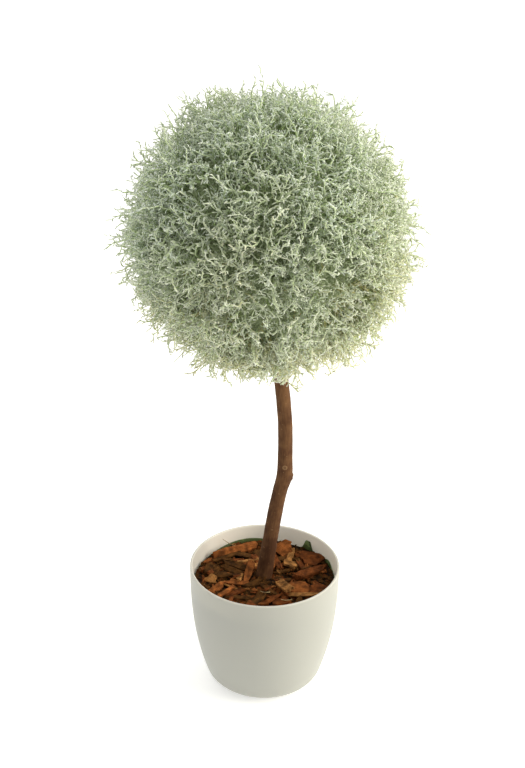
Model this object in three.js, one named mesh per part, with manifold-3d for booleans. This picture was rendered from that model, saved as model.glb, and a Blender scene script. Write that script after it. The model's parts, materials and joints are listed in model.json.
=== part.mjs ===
// A table-top lollipop topiary: one clipped ball of fine forked sprigs on a bent
// wooden stem, standing in a plain round pot that holds a thin liner, a planting
// core and a loose bed of bark chips.
// Millimetres, +Z up. The origin is the centre of the pot's flat underside, and
// the front of the plant faces -Y.
import * as THREE from "three";
import { mergeVertices } from "three/addons/utils/BufferGeometryUtils.js";
import Module from "manifold-3d";

const wasm = await Module();
wasm.setup();

// ---- driving dimensions ---------------------------------------------------
const POT_RADIUS = 70; // outside, at the rim
const POT_HEIGHT = 121;
const POT_WALL = 2.2;
const POT_FLOOR = 3;
const FOOT_FLARE = 18.5; // how much narrower the wall is at the foot than at the rim
const FLARE_POWER = 2.5; // 1 is a straight cone, more is upright near the rim
const FOOT_CORNER = 11; // round between the flat underside and the wall

const GAP = 0.4; // clearance between nested or touching pieces
const LINER_WALL = 0.8;
const LINER_TOP = 101; // the liner's ordinary edge, hidden by the bark
const LINER_SHOW = 7; // how far its edge rises where it shows, at the back left

const CORE_TOP = 88; // the planting core that carries the stem
const BED_TOP = 100.5; // mean level of the small bark under the large chips
const BED_BUMP = 2.2;

const STEM_RADIUS = 7.2; // at the foot, before the flare
const STEM_TAPER = 1.25; // how much thinner it is at the top
const STEM_FLARE = 1.6; // extra radius where the stem meets the core
const FLARE_HEIGHT = 22;
const STEM_TOP = 430; // the stem ends inside the ball

const BALL_RADIUS = 126; // out to the sprig tips, where the ball is plain
const BALL_CENTRE = new THREE.Vector3(0, 0, 444);
const BALL_BUMP = 1.6; // how far bunches of sprigs rise and dip

const ROUND_STEPS = 40; // facets round the pot and what is in it
const DEG = Math.PI / 180;

// ---- finishes -------------------------------------------------------------
const finish = (colour, roughness) =>
  new THREE.MeshStandardMaterial({ color: colour, roughness, metalness: 0 });
const POT_PLASTIC = finish("#d9d5c8", 0.55);
const LINER_PLASTIC = finish("#23401f", 0.5);
const CORE_FIBRE = finish("#3a2a1e", 0.95);
const BARK_FINES = finish("#3b2215", 0.95);
const BARK = finish("#8a5330", 0.85);
const STEM_BARK = finish("#5d402b", 0.9);
const SPRIGS = finish("#a9b493", 0.8);

// ---- helpers --------------------------------------------------------------
const topiary = new THREE.Group();

function add(name, geometry, material) {
  const mesh = new THREE.Mesh(geometry, material);
  mesh.name = name;
  topiary.add(mesh);
  return mesh;
}

// A closed three.js geometry as a manifold-3d solid.
function solidOf(geometry) {
  const bare = geometry.clone();
  bare.deleteAttribute("normal");
  bare.deleteAttribute("uv");
  const merged = mergeVertices(bare, 1e-3);
  return new wasm.Manifold(
    new wasm.Mesh({
      numProp: 3,
      vertProperties: merged.attributes.position.array,
      triVerts: new Uint32Array(merged.index.array),
    }),
  );
}

// A manifold-3d solid as a three.js geometry. Of several pieces the largest is kept.
function geometryOf(solid) {
  const largest = solid
    .decompose()
    .reduce((a, b) => (b.volume() > a.volume() ? b : a));
  const mesh = largest.getMesh();
  const geometry = new THREE.BufferGeometry();
  geometry.setAttribute(
    "position",
    new THREE.BufferAttribute(mesh.vertProperties, 3),
  );
  geometry.setIndex(new THREE.BufferAttribute(mesh.triVerts, 1));
  geometry.computeVertexNormals();
  return geometry;
}

// Turns a profile of [radius, height] pairs round the Z axis.
function turned(profile) {
  const points = profile.map(([r, z]) => new THREE.Vector2(r, z));
  return new THREE.LatheGeometry(points, ROUND_STEPS).rotateX(Math.PI / 2);
}

// Moves every vertex of a geometry by a function of its own place.
function reshaped(geometry, move) {
  const places = geometry.attributes.position;
  const point = new THREE.Vector3();
  for (let i = 0; i < places.count; i++) {
    move(point.fromBufferAttribute(places, i));
    places.setXYZ(i, point.x, point.y, point.z);
  }
  geometry.computeVertexNormals();
  return geometry;
}

const steps = (from, to, count) =>
  Array.from({ length: count + 1 }, (_, i) => from + ((to - from) * i) / count);
const bell = (x, width) => Math.exp(-((x / width) ** 2));

// ---- pot ------------------------------------------------------------------
// The wall leans out from the foot and is upright by the rim.
function potRadius(z) {
  const wall =
    POT_RADIUS - FOOT_FLARE * (1 - z / POT_HEIGHT) ** FLARE_POWER;
  const low = Math.max(0, 1 - z / FOOT_CORNER);
  return wall - FOOT_CORNER * (1 - Math.sqrt(1 - low * low));
}

// The line of a wall that follows the pot's outside from its own floor up to a
// top, set in by a distance. Nested pieces step up and in by the same amounts.
const WALL_BENDS = [0, 1.4, 5, 11, 20, 33, 50, 70, 92];
function wallLine(floor, top, inset) {
  const bends = WALL_BENDS.filter((z) => floor + z < top - 1);
  return [...bends, top - floor].map((z) => [potRadius(z) - inset, floor + z]);
}

function pot() {
  const outside = wallLine(0, POT_HEIGHT - 1, 0);
  const lip = [
    [POT_RADIUS - 0.3 * POT_WALL, POT_HEIGHT],
    [POT_RADIUS - 0.7 * POT_WALL, POT_HEIGHT],
  ];
  const inside = wallLine(POT_FLOOR, POT_HEIGHT - 1, POT_WALL).reverse();
  const profile = [[0, 0], ...outside, ...lip, ...inside, [0, POT_FLOOR]];
  add("pot", turned(profile), POT_PLASTIC);
}

// ---- liner ----------------------------------------------------------------
// A thin inner cup. Its edge rises above the bark at the back left, and one
// narrow lug stands up at the back right.
const LINER_FLOOR = POT_FLOOR + GAP;
const LINER_INSET = POT_WALL + GAP;
const ROOM_FLOOR = LINER_FLOOR + LINER_WALL + GAP;
const ROOM_INSET = LINER_INSET + LINER_WALL + GAP;

function linerEdge(angle) {
  const away = (from) =>
    Math.atan2(Math.sin(angle - from), Math.cos(angle - from));
  const backLeft = bell(away(128 * DEG), 42 * DEG);
  const lug = bell(away(48 * DEG), 7 * DEG);
  return LINER_TOP + LINER_SHOW * backLeft + 11 * lug;
}

function liner() {
  const outside = wallLine(LINER_FLOOR, LINER_TOP, LINER_INSET);
  const floor = LINER_FLOOR + LINER_WALL;
  const inset = LINER_INSET + LINER_WALL;
  const inside = wallLine(floor, LINER_TOP, inset).reverse();
  const cup = turned([[0, LINER_FLOOR], ...outside, ...inside, [0, floor]]);
  // Only the edge itself is raised, and it follows the wall as it rises.
  reshaped(cup, (p) => {
    if (p.z < LINER_TOP - 1) return;
    const r = Math.hypot(p.x, p.y);
    const raised = linerEdge(Math.atan2(p.y, p.x));
    const moved = potRadius(raised) - potRadius(p.z);
    p.set((p.x * (r + moved)) / r, (p.y * (r + moved)) / r, raised);
  });
  add("liner", cup, LINER_PLASTIC);
}

// ---- planting core --------------------------------------------------------
function plantingCore() {
  const side = wallLine(ROOM_FLOOR, CORE_TOP, ROOM_INSET);
  const profile = [[0, ROOM_FLOOR], ...side, [0, CORE_TOP]];
  add("planting_core", turned(profile), CORE_FIBRE);
}

// ---- stem -----------------------------------------------------------------
// A cut branch: it leans right from its foot, kinks at a pruned knot about half
// way up, and curves back to the left as it enters the ball.
const STEM_FOOT = CORE_TOP + GAP;
const KNOT_HEIGHT = 212;
const spine = new THREE.CatmullRomCurve3(
  [
    [-2.9, 6, STEM_FOOT],
    [-0.1, 5, 108],
    [8.1, 3.5, 170],
    [13.2, 3, 200],
    [16.4, 2.5, 216],
    [17.0, 2.5, 240],
    [16.2, 2, 270],
    [12.5, 1.5, 307],
    [6.6, 1, 356],
    [1.6, 0, STEM_TOP],
  ].map((p) => new THREE.Vector3(...p)),
  false,
  "centripetal",
);

// Radius at a height and a direction round the stem.
function stemRadius(z, angle) {
  const taper = STEM_TAPER * ((z - STEM_FOOT) / (STEM_TOP - STEM_FOOT));
  const flare = STEM_FLARE * Math.exp(-(z - STEM_FOOT) / FLARE_HEIGHT);
  const toRight = Math.max(0, Math.cos(angle));
  const knot = bell(z - KNOT_HEIGHT, 10) * (0.4 + 1.2 * toRight ** 3);
  return STEM_RADIUS - taper + flare + knot;
}

// A cylinder whose level sections are carried onto the spine. A clearance grows
// it all round and past both ends.
function stemShape(clearance = 0) {
  const tube = new THREE.CylinderGeometry(1, 1, 1, 14, 34).rotateX(Math.PI / 2);
  return reshaped(tube, (p) => {
    const centre = spine.getPoint(p.z + 0.5);
    const angle = Math.atan2(p.y, p.x);
    const onAxis = Math.hypot(p.x, p.y) < 0.5;
    const r = onAxis ? 0 : stemRadius(centre.z, angle) + clearance;
    const atEnd = Math.abs(p.z) > 0.499 ? Math.sign(p.z) : 0;
    p.set(
      centre.x + r * Math.cos(angle),
      centre.y + r * Math.sin(angle),
      centre.z + atEnd * clearance,
    );
  });
}

// ---- ball of sprigs -------------------------------------------------------
// Where the clipping left the ball fuller or flatter: a direction, and how far
// the surface stands out or lies back there.
const CLIPPING = [
  { facing: new THREE.Vector3(-0.75, -0.15, 0.65), rise: 5.5 },
  { facing: new THREE.Vector3(-0.85, -0.1, -0.5), rise: 2.5 },
  { facing: new THREE.Vector3(0.8, -0.1, 0.6), rise: -5 },
  { facing: new THREE.Vector3(0.2, 0.95, -0.2), rise: 2.5 },
];

// Radius of the ball in a direction.
function ballRadius(d) {
  const clipped = CLIPPING.reduce((sum, { facing, rise }) => {
    const near = Math.max(0, facing.dot(d) / facing.length());
    return sum + rise * near ** 4;
  }, BALL_RADIUS);
  const bunches =
    Math.sin(8.1 * d.x + 1.3) * Math.sin(7.3 * d.y + 0.4) +
    Math.sin(7.7 * d.z + 2.1) * Math.sin(6.9 * d.x - 5.2 * d.y);
  return clipped + 0.5 * BALL_BUMP * bunches;
}

function foliageBall() {
  const ball = reshaped(new THREE.IcosahedronGeometry(1, 10), (p) => {
    const direction = p.clone().normalize();
    p.copy(direction).multiplyScalar(ballRadius(direction)).add(BALL_CENTRE);
  });
  const bored = solidOf(ball).subtract(solidOf(stemShape(GAP)));
  add("foliage_ball", geometryOf(bored), SPRIGS);
}

// ---- bark -----------------------------------------------------------------
// The large chips that lie on top of the bed. Each row is length, width and
// thickness, then the place of its middle, its heading, and its pitch and roll.
const CHIPS = [
  { size: [56, 10, 8], at: [-29, 48, 104.5], turn: [29, 3, 12] },
  { size: [20, 17, 5], at: [21, 45, 107], turn: [8, -4, 46] },
  { size: [43, 9, 6], at: [45, 10, 105.5], turn: [36, 6, 20] },
  { size: [26, 15, 5], at: [46, 31, 105], turn: [-24, 4, 24] },
  { size: [38, 10, 5], at: [17, -14, 106], turn: [-72, -16, 10] },
  { size: [21, 16, 5], at: [33, -18, 105], turn: [8, 5, 26] },
  { size: [24, 17, 5], at: [52, -17, 103.6], turn: [24, -6, 14] },
  { size: [14, 9, 5], at: [-49, -5, 105], turn: [-52, 8, 26] },
  { size: [29, 6, 5], at: [-36, -25, 105], turn: [52, 4, 10] },
  { size: [26, 7, 4], at: [-45, -18, 104], turn: [47, -3, 24] },
  { size: [28, 14, 5], at: [-29, 15, 105], turn: [-36, 4, 18] },
  { size: [26, 11, 5], at: [-8, -37, 104.5], turn: [50, -5, -14] },
  { size: [29, 7, 5], at: [-8, -11, 105.5], turn: [20, 3, 8] },
  { size: [22, 15, 4], at: [-50, 13, 104.4], turn: [70, 4, 12] },
  { size: [15, 10, 5], at: [8, -52, 104], turn: [-20, 6, 20] },
  { size: [17, 12, 5], at: [25, 22, 105], turn: [-38, 6, -14] },
];

// A splintered slab: an uneven outline, blunt at one end and pointed at the other.
function chipShape({ size, at, turn }, order, clearance = 0) {
  const [length, width, thick] = size.map((s) => s + 2 * clearance);
  const skew = 0.12 * Math.sin(2.4 * order + 1);
  const outline = [
    [-0.5, -0.3 + skew],
    [-0.32, -0.5],
    [0.2 + skew, -0.46],
    [0.5, -0.12],
    [0.44, 0.22 + skew],
    [0.1, 0.5],
    [-0.4, 0.44],
  ].map(([u, v]) => new THREE.Vector2(u * length, v * width));
  const slab = new THREE.ExtrudeGeometry(new THREE.Shape(outline), {
    depth: thick,
    bevelEnabled: false,
  });
  const [heading, pitch, roll] = turn.map((angle) => angle * DEG);
  const pose = new THREE.Matrix4()
    .makeRotationFromEuler(new THREE.Euler(roll, pitch, heading, "ZYX"))
    .setPosition(...at);
  return slab.translate(0, 0, -thick / 2).applyMatrix4(pose);
}

// The room inside the liner, from just over the core to above the rim.
const roomRadius = (z) => potRadius(Math.min(z, LINER_TOP)) - ROOM_INSET - 0.2;
function barkRoom(low, high) {
  const side = steps(low, high, 4).map((z) => [roomRadius(z), z]);
  return solidOf(turned([[0, low], ...side, [0, high]]));
}

function bark() {
  const low = CORE_TOP + GAP;
  const stemRoom = solidOf(stemShape(GAP));
  const room = barkRoom(low, POT_HEIGHT + 10);
  const taken = [];
  CHIPS.forEach((chip, order) => {
    let piece = solidOf(chipShape(chip, order)).intersect(room);
    [stemRoom, ...taken].forEach((other) => {
      piece = piece.subtract(other);
    });
    taken.push(solidOf(chipShape(chip, order, GAP)));
    const name = "bark_chip_" + String(order + 1).padStart(2, "0");
    add(name, geometryOf(piece), BARK);
  });

  const edge = roomRadius(BED_TOP - 4);
  const across = steps(edge - 1, 0, 8).map((r) => [r, BED_TOP]);
  const layer = turned([
    [0, low],
    [roomRadius(low), low],
    [edge, BED_TOP - 4],
    ...across,
  ]);
  reshaped(layer, (p) => {
    if (p.z < BED_TOP - 1) return;
    p.z +=
      BED_BUMP * Math.sin(0.17 * p.x + 0.6) * Math.sin(0.15 * p.y - 0.9) +
      0.5 * BED_BUMP * Math.sin(0.31 * p.x - 0.23 * p.y);
  });
  let bed = solidOf(layer).subtract(stemRoom);
  taken.forEach((chip) => {
    bed = bed.subtract(chip);
  });
  add("bark_bed", geometryOf(bed), BARK_FINES);
}

// ---- the whole plant ------------------------------------------------------
pot();
liner();
plantingCore();
bark();
add("stem", stemShape(), STEM_BARK);
foliageBall();

export default topiary;
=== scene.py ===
"""Makes the looks of a table-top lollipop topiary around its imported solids.

A ball of fine forked sprigs grows, by a seeded branching rule, from the top of a bent wooden
stem. The stem stands in a plain round pot filled with bark chips. Lengths are in metres, +Z is
up, the origin is the centre of the pot's flat underside, and the front faces -Y.
"""

import json
import math
import random

import bmesh
import bpy
import numpy as np
from bpy.props import FloatProperty, FloatVectorProperty, IntProperty, PointerProperty
from mathutils import Matrix, Quaternion, Vector, noise
from mathutils.bvhtree import BVHTree

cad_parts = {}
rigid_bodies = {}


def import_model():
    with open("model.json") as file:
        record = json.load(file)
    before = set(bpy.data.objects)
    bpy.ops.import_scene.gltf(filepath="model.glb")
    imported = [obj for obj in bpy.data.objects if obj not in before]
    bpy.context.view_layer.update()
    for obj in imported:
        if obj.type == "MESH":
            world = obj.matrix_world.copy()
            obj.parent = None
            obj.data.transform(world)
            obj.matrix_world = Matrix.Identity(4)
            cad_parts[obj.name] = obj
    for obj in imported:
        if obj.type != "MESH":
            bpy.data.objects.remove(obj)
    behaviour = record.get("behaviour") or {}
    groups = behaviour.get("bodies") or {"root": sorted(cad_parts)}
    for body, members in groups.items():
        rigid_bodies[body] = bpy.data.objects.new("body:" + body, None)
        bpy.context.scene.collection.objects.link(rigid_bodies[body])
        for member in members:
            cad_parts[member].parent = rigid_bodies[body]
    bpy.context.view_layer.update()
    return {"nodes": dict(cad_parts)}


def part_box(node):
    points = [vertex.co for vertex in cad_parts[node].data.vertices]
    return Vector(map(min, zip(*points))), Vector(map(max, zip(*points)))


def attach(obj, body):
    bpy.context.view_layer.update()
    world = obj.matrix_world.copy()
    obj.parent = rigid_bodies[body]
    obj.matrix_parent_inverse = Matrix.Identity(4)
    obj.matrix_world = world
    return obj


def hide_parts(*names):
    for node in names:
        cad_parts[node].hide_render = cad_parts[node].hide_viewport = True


bl_info = {
    "name": "Lollipop Topiary",
    "version": (1, 0, 0),
    "blender": (4, 5, 0),
    "location": "View3D > Sidebar > Topiary",
    "description": "Grows a table-top lollipop topiary in its pot of bark",
    "category": "Add Mesh",
}

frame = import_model()
BODY = "root"
MM = 0.001
TURN = 2 * math.pi

POT_LOW, POT_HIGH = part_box("pot")
LINER_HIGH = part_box("liner")[1]
BED_LOW, BED_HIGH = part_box("bark_bed")
BALL_LOW, BALL_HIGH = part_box("foliage_ball")
BALL_CENTRE = (BALL_LOW + BALL_HIGH) / 2
CHIP_NODES = sorted(name for name in frame["nodes"] if name.startswith("bark_chip_"))


def linear(code):
    """The linear colour of an "rrggbb" code."""
    shares = [int(code[i : i + 2], 16) / 255 for i in (0, 2, 4)]
    return tuple(c / 12.92 if c <= 0.04045 else ((c + 0.055) / 1.055) ** 2.4 for c in shares)


# ---- what a user would change ----------------------------------------------------------


def length(name, description, millimetres):
    """A length property whose default is given in millimetres."""
    return FloatProperty(
        name=name,
        description=description,
        default=millimetres * MM,
        precision=4,
        subtype="DISTANCE",
        unit="LENGTH",
    )


def share(name, description, default):
    """A property from 0 to 1."""
    return FloatProperty(
        name=name, description=description, default=default, min=0, max=1, subtype="FACTOR"
    )


def tint(name, description, code):
    """A colour property whose default is an "rrggbb" code."""
    return FloatVectorProperty(
        name=name,
        description=description,
        default=linear(code),
        size=3,
        min=0,
        max=1,
        subtype="COLOR",
    )


def angle(name, description, degrees):
    """An angle property whose default is given in degrees."""
    return FloatProperty(
        name=name,
        description=description,
        default=math.radians(degrees),
        subtype="ANGLE",
        unit="ROTATION",
    )


def seed(default):
    """The seed of everything random in a piece."""
    return IntProperty(name="Seed", description="Seed of the random draws", default=default)


class PotSettings(bpy.types.PropertyGroup):
    wall: length("Wall", "Thickness of the pot's wall", 2.2)
    floor: length("Floor", "Thickness of the pot's floor", 3)
    foot_flare: length("Foot flare", "How much narrower the foot is than the rim", 18.5)
    flare_power: FloatProperty(
        name="Flare power", description="1 is a cone, more is upright near the rim", default=2.5
    )
    foot_corner: length("Foot corner", "Round between the underside and the wall", 11)
    colour: tint("Colour", "Colour of the pot's plastic", "b0b0a7")
    # Painted light: the paler inside colour stands for light coming through the thin wall.
    inside_colour: tint("Inside", "Paler colour inside, where light comes through", "ece6da")
    liner_gap: length("Liner gap", "Gap between the pot and its liner", 0.4)
    liner_wall: length("Liner wall", "Thickness of the liner", 0.8)
    liner_edge: length("Liner edge", "Height of the liner's ordinary edge", 101)
    liner_colour: tint("Liner colour", "Colour of the liner's plastic", "4d5c2e")


class StemSettings(bpy.types.PropertyGroup):
    relief: length("Relief", "How far the bark's ridges stand out", 0.35)
    wander: length("Wander", "How far the stem swells and dips", 0.35)
    knot_height: length("Knot height", "Height of the pruned knot on the right", 213)
    scar_height: length("Scar height", "Height of the healed scar at the front", 226)
    light_bark: tint("Light bark", "Colour of the raised bark", "785536")
    dark_bark: tint("Dark bark", "Colour of the hollows", "4c301d")
    pores: tint("Pores", "Colour of the small pale pores", "a07e5a")
    seed: seed(11)


class BarkSettings(bpy.types.PropertyGroup):
    loose_chips: IntProperty(
        name="Loose chips", description="Smaller chips between the large ones", default=185
    )
    crumb_density: FloatProperty(
        name="Crumbs", description="Crumbs to the square metre", default=65000
    )
    mound: length("Mound", "How far the bark rises round the foot of the stem", 3.6)
    straws: IntProperty(name="Straws", description="Thin pale straws", default=3)
    tan: tint("Tan", "Pale dry chips", "9c6c3c")
    orange: tint("Orange", "Freshly split chips", "8c5228")
    red: tint("Red", "Reddish chips", "6e3c1b")
    brown: tint("Brown", "Dark weathered chips", "553617")
    straw: tint("Straw", "Dry straws", "b09a74")
    fines: tint("Fines", "The crumbs and dust under the chips", "2c1c0e")
    seed: seed(5)


class SprigSettings(bpy.types.PropertyGroup):
    sprays: IntProperty(
        name="Sprays", description="Sprays of sprigs over the whole ball", default=2000
    )
    kinds: IntProperty(name="Kinds", description="Different sprays to draw from", default=12)
    depth: length("Depth", "How deep a spray reaches in from the tips", 40.5)
    thickness: length("Thickness", "Thickness of an outer twig", 1.02)
    curl: length("Curl", "How far the twigs drift from straight", 8)
    tufts: length("Tufts", "How far bunches of sprays stand out or in", 5)
    fork: angle("Fork", "Half the angle of a fork", 27)
    bend: angle("Bend", "Most that a shoot turns at each joint", 15)
    twiggy: share("Twiggy", "Share of side twigs that carry another", 0.5)
    swing: angle("Swing", "How far neighbouring sprays lean together", 35)
    smallest: FloatProperty(name="Smallest", description="Scale of the smallest", default=0.76)
    largest: FloatProperty(name="Largest", description="Scale of the largest", default=1.24)
    seed: seed(23)


class StageSettings(bpy.types.PropertyGroup):
    lens: FloatProperty(
        name="Lens", description="Focal length in millimetres", default=60, unit="CAMERA"
    )
    distance: length("Distance", "From the camera to the point it looks at", 1120)
    aim_height: length("Aim height", "Height of the point it looks at", 307)
    aim_left: length("Aim left", "How far left of the pot's axis it looks", 4.3)
    elevation: angle("Elevation", "How far the camera looks down", 25.4)
    roll: angle("Roll", "How far the camera leans", 0.74)
    floor_colour: tint("Floor", "Colour of the floor", "f4f4f2")


# ---- node trees ------------------------------------------------------------------------


def pick(sockets, key):
    """A socket by its number, or the one in use by its name. None is the first in use."""
    if isinstance(key, int):
        return sockets[key]
    return next(s for s in sockets if s.enabled and key in (None, s.name))


class Link:
    """A node's output in an expression: its operators add Math nodes."""

    def __init__(self, graph, socket):
        self.graph = graph
        self.socket = socket

    def math(self, operation, first, second=0.0):
        return self.graph.node("ShaderNodeMath", {"operation": operation}, {0: first, 1: second})

    def __add__(self, other):
        return self.math("ADD", self, other)

    def __sub__(self, other):
        return self.math("SUBTRACT", self, other)

    def __rsub__(self, other):
        return self.math("SUBTRACT", other, self)

    def __mul__(self, other):
        return self.math("MULTIPLY", self, other)

    def __gt__(self, other):
        return self.math("GREATER_THAN", self, other)

    def __lt__(self, other):
        return self.math("LESS_THAN", self, other)

    __radd__ = __add__
    __rmul__ = __mul__


class Graph:
    """A node tree. node() makes any node: its settings first, then its sockets."""

    def __init__(self, tree):
        self.tree = tree
        tree.nodes.clear()

    def node(self, kind, settings=None, inputs=None, output=None):
        made = self.tree.nodes.new(kind)
        for name, value in (settings or {}).items():
            if name == "stops":
                self.set_stops(made.color_ramp, value)
            else:
                setattr(made, name, value)
        for key, value in (inputs or {}).items():
            socket = pick(made.inputs, key)
            if isinstance(value, Link):
                self.tree.links.new(value.socket, socket)
            else:
                socket.default_value = value
        return Link(self, pick(made.outputs, output)) if made.outputs else made

    @staticmethod
    def set_stops(ramp, stops):
        while len(ramp.elements) < len(stops):
            ramp.elements.new(1)
        for element, (place, colour) in zip(ramp.elements, stops):
            element.position = place
            element.color = (*colour, 1)

    def ramp(self, value, *stops):
        """Colours along a value: (place, colour) pairs."""
        return self.node("ShaderNodeValToRGB", {"stops": stops}, {"Fac": value}, "Color")

    def mix(self, factor, a, b):
        """Colour a where the factor is 0, b where it is 1."""
        ends = [c if isinstance(c, Link) else (*c, 1) for c in (a, b)]
        inputs = {"Factor": factor, "A": ends[0], "B": ends[1]}
        return self.node("ShaderNodeMix", {"data_type": "RGBA"}, inputs)

    def vector(self, operation, a, b):
        """A Vector Math node."""
        return self.node("ShaderNodeVectorMath", {"operation": operation}, {0: a, 1: b})

    def noise(self, place, scale, detail=2.0, output="Fac", **inputs):
        sockets = {"Vector": place, "Scale": scale, "Detail": detail, **inputs}
        return self.node("ShaderNodeTexNoise", {}, sockets, output)

    def drift(self, place, scale):
        """Noise that points any way, as far one way as the other."""
        colour = self.noise(place, scale, 1, "Color")
        return self.vector("SUBTRACT", colour, (0.5, 0.5, 0.5))

    def scaled(self, vector, factor):
        """A vector made longer or shorter."""
        sockets = {0: vector, "Scale": factor}
        return self.node("ShaderNodeVectorMath", {"operation": "SCALE"}, sockets)

    def bump(self, height, distance, strength=1.0):
        sockets = {"Height": height, "Distance": distance, "Strength": strength}
        return self.node("ShaderNodeBump", {}, sockets)

    def object_place(self):
        return self.node("ShaderNodeTexCoord", {}, {}, "Object")

    def uv_place(self, name):
        return self.node("ShaderNodeUVMap", {"uv_map": name})


def material(paint, *given, name=None):
    """A material with one Principled shader, whose sockets take what paint gives.

    It is named after the paint function, unless it has a name of its own.
    """
    made = bpy.data.materials.new(name or paint.__name__)
    made.use_nodes = True
    graph = Graph(made.node_tree)
    shader = graph.node("ShaderNodeBsdfPrincipled", {}, paint(graph, *given))
    graph.node("ShaderNodeOutputMaterial", {}, {"Surface": shader})
    return made


def geometry_tree(name, inputs, build):
    """A Geometry Nodes tree. inputs gives the socket type of each input after the geometry.

    build(graph, given) gives the instances and, where they drift once real, their offset.
    """
    tree = bpy.data.node_groups.new(name, "GeometryNodeTree")
    sockets = {"Geometry": "Geometry", **inputs}
    for socket, kind in sockets.items():
        tree.interface.new_socket(socket, in_out="INPUT", socket_type="NodeSocket" + kind)
    tree.interface.new_socket("Geometry", in_out="OUTPUT", socket_type="NodeSocketGeometry")
    graph = Graph(tree)
    given = {socket: graph.node("NodeGroupInput", {}, {}, socket) for socket in sockets}
    instances, drift = build(graph, given)
    real = graph.node("GeometryNodeRealizeInstances", {}, {"Geometry": instances})
    if drift:
        drifted = {"Geometry": real, "Offset": drift}
        real = graph.node("GeometryNodeSetPosition", {}, drifted)
    painted = {"Geometry": real, "Material": given["Material"]}
    dressed = graph.node("GeometryNodeSetMaterial", {}, painted)
    graph.node("NodeGroupOutput", {}, {"Geometry": dressed})
    return tree


def grown(name, host, tree, values):
    """The mesh that a tree makes on a host mesh, as a new piece. The host is removed."""
    modifier = host.modifiers.new("grow", "NODES")
    modifier.node_group = tree
    for item in tree.interface.items_tree:
        if item.in_out == "INPUT" and item.name in values:
            modifier[item.identifier] = values[item.name]
    bpy.context.view_layer.update()
    depsgraph = bpy.context.evaluated_depsgraph_get()
    mesh = bpy.data.meshes.new_from_object(host.evaluated_get(depsgraph))
    host.modifiers.remove(modifier)
    mesh.name = name
    bpy.data.objects.remove(host)
    return linked(name, mesh)


# ---- meshes ----------------------------------------------------------------------------


def scatter(rng):
    """A random vector, each part drawn from a bell curve of width 1."""
    return Vector((rng.gauss(0, 1), rng.gauss(0, 1), rng.gauss(0, 1)))


def linked(name, mesh):
    """A new object in the scene, at the origin."""
    made = bpy.data.objects.new(name, mesh)
    bpy.context.scene.collection.objects.link(made)
    return made


def mesh_of(name, points, faces, finish=None):
    """A smooth-shaded mesh of points and faces."""
    mesh = bpy.data.meshes.new(name)
    mesh.from_pydata([tuple(p) for p in points], [], faces)
    mesh.polygons.foreach_set("use_smooth", [True] * len(mesh.polygons))
    if finish:
        mesh.materials.append(finish)
    mesh.update()
    return mesh


def lay_map(mesh, name, places):
    """Gives the mesh a UV map from one place for each of its corners."""
    layer = mesh.uv_layers.new(name=name)
    layer.data.foreach_set("uv", np.asarray(places, np.float32).ravel())


def settle(piece, slot, *replaced):
    """Says what a finished piece rides on and the nodes that it stands for. Its finish, given as
    slot, is not used.
    """
    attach(piece, BODY)
    if replaced:
        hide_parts(*replaced)


def turned(profile, steps, reshape=None):
    """Points and faces of a profile turned round Z. Its ends are on the axis."""
    points = [Vector((0, 0, profile[0][1]))]
    rings = []
    for r, z in profile[1:-1]:
        rings.append(range(len(points), len(points) + steps))
        for i in range(steps):
            a = TURN * i / steps
            points.append(Vector((r * math.cos(a), r * math.sin(a), z)))
    last = len(points)
    points.append(Vector((0, 0, profile[-1][1])))
    if reshape:
        points = [reshape(p) for p in points]
    faces = []
    for i in range(steps):
        j = (i + 1) % steps
        faces.append((0, rings[0][j], rings[0][i]))
        for low, high in zip(rings, rings[1:]):
            faces.append((low[i], low[j], high[j], high[i]))
        faces.append((rings[-1][i], rings[-1][j], last))
    return points, faces


def tube(chain, sides, points, faces, pointed):
    """Adds a tapering tube along a chain of (place, radius) pairs."""
    places = [place for place, _ in chain]
    across = None
    first = len(points)
    for i, (place, radius) in enumerate(chain):
        ahead = (places[min(i + 1, len(chain) - 1)] - places[max(i - 1, 0)]).normalized()
        if across is None:
            across = ahead.orthogonal().normalized()
        across = (across - ahead * across.dot(ahead)).normalized()
        other = ahead.cross(across)
        for k in range(sides):
            a = TURN * k / sides
            points.append(place + radius * (math.cos(a) * across + math.sin(a) * other))
    for i in range(len(chain) - 1):
        low = first + i * sides
        for k in range(sides):
            j = (k + 1) % sides
            faces.append((low + k, low + j, low + sides + j, low + sides + k))
    faces.append(tuple(first + k for k in reversed(range(sides))))
    top = len(points) - sides
    if pointed:
        points.append(places[-1] + 1.3 * chain[-1][1] * ahead)
        faces += [(top + k, top + (k + 1) % sides, top + sides) for k in range(sides)]
    else:
        faces.append(tuple(top + k for k in range(sides)))


# ---- pot and liner ---------------------------------------------------------------------


def pot_radius(settings, z):
    """The pot's outside radius at a height."""
    height = POT_HIGH.z
    rim = (POT_HIGH.x - POT_LOW.x) / 2
    wall = rim - settings.foot_flare * (1 - min(z / height, 1)) ** settings.flare_power
    low = max(0.0, 1 - z / settings.foot_corner)
    return wall - settings.foot_corner * (1 - math.sqrt(1 - low * low))


def wall_line(settings, floor, top, inset, count):
    """The line of a nested wall, closest together in the corner at its foot."""
    for i in range(count + 1):
        z = (top - floor) * (i / count) ** 1.8
        yield pot_radius(settings, z) - inset, floor + z


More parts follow.
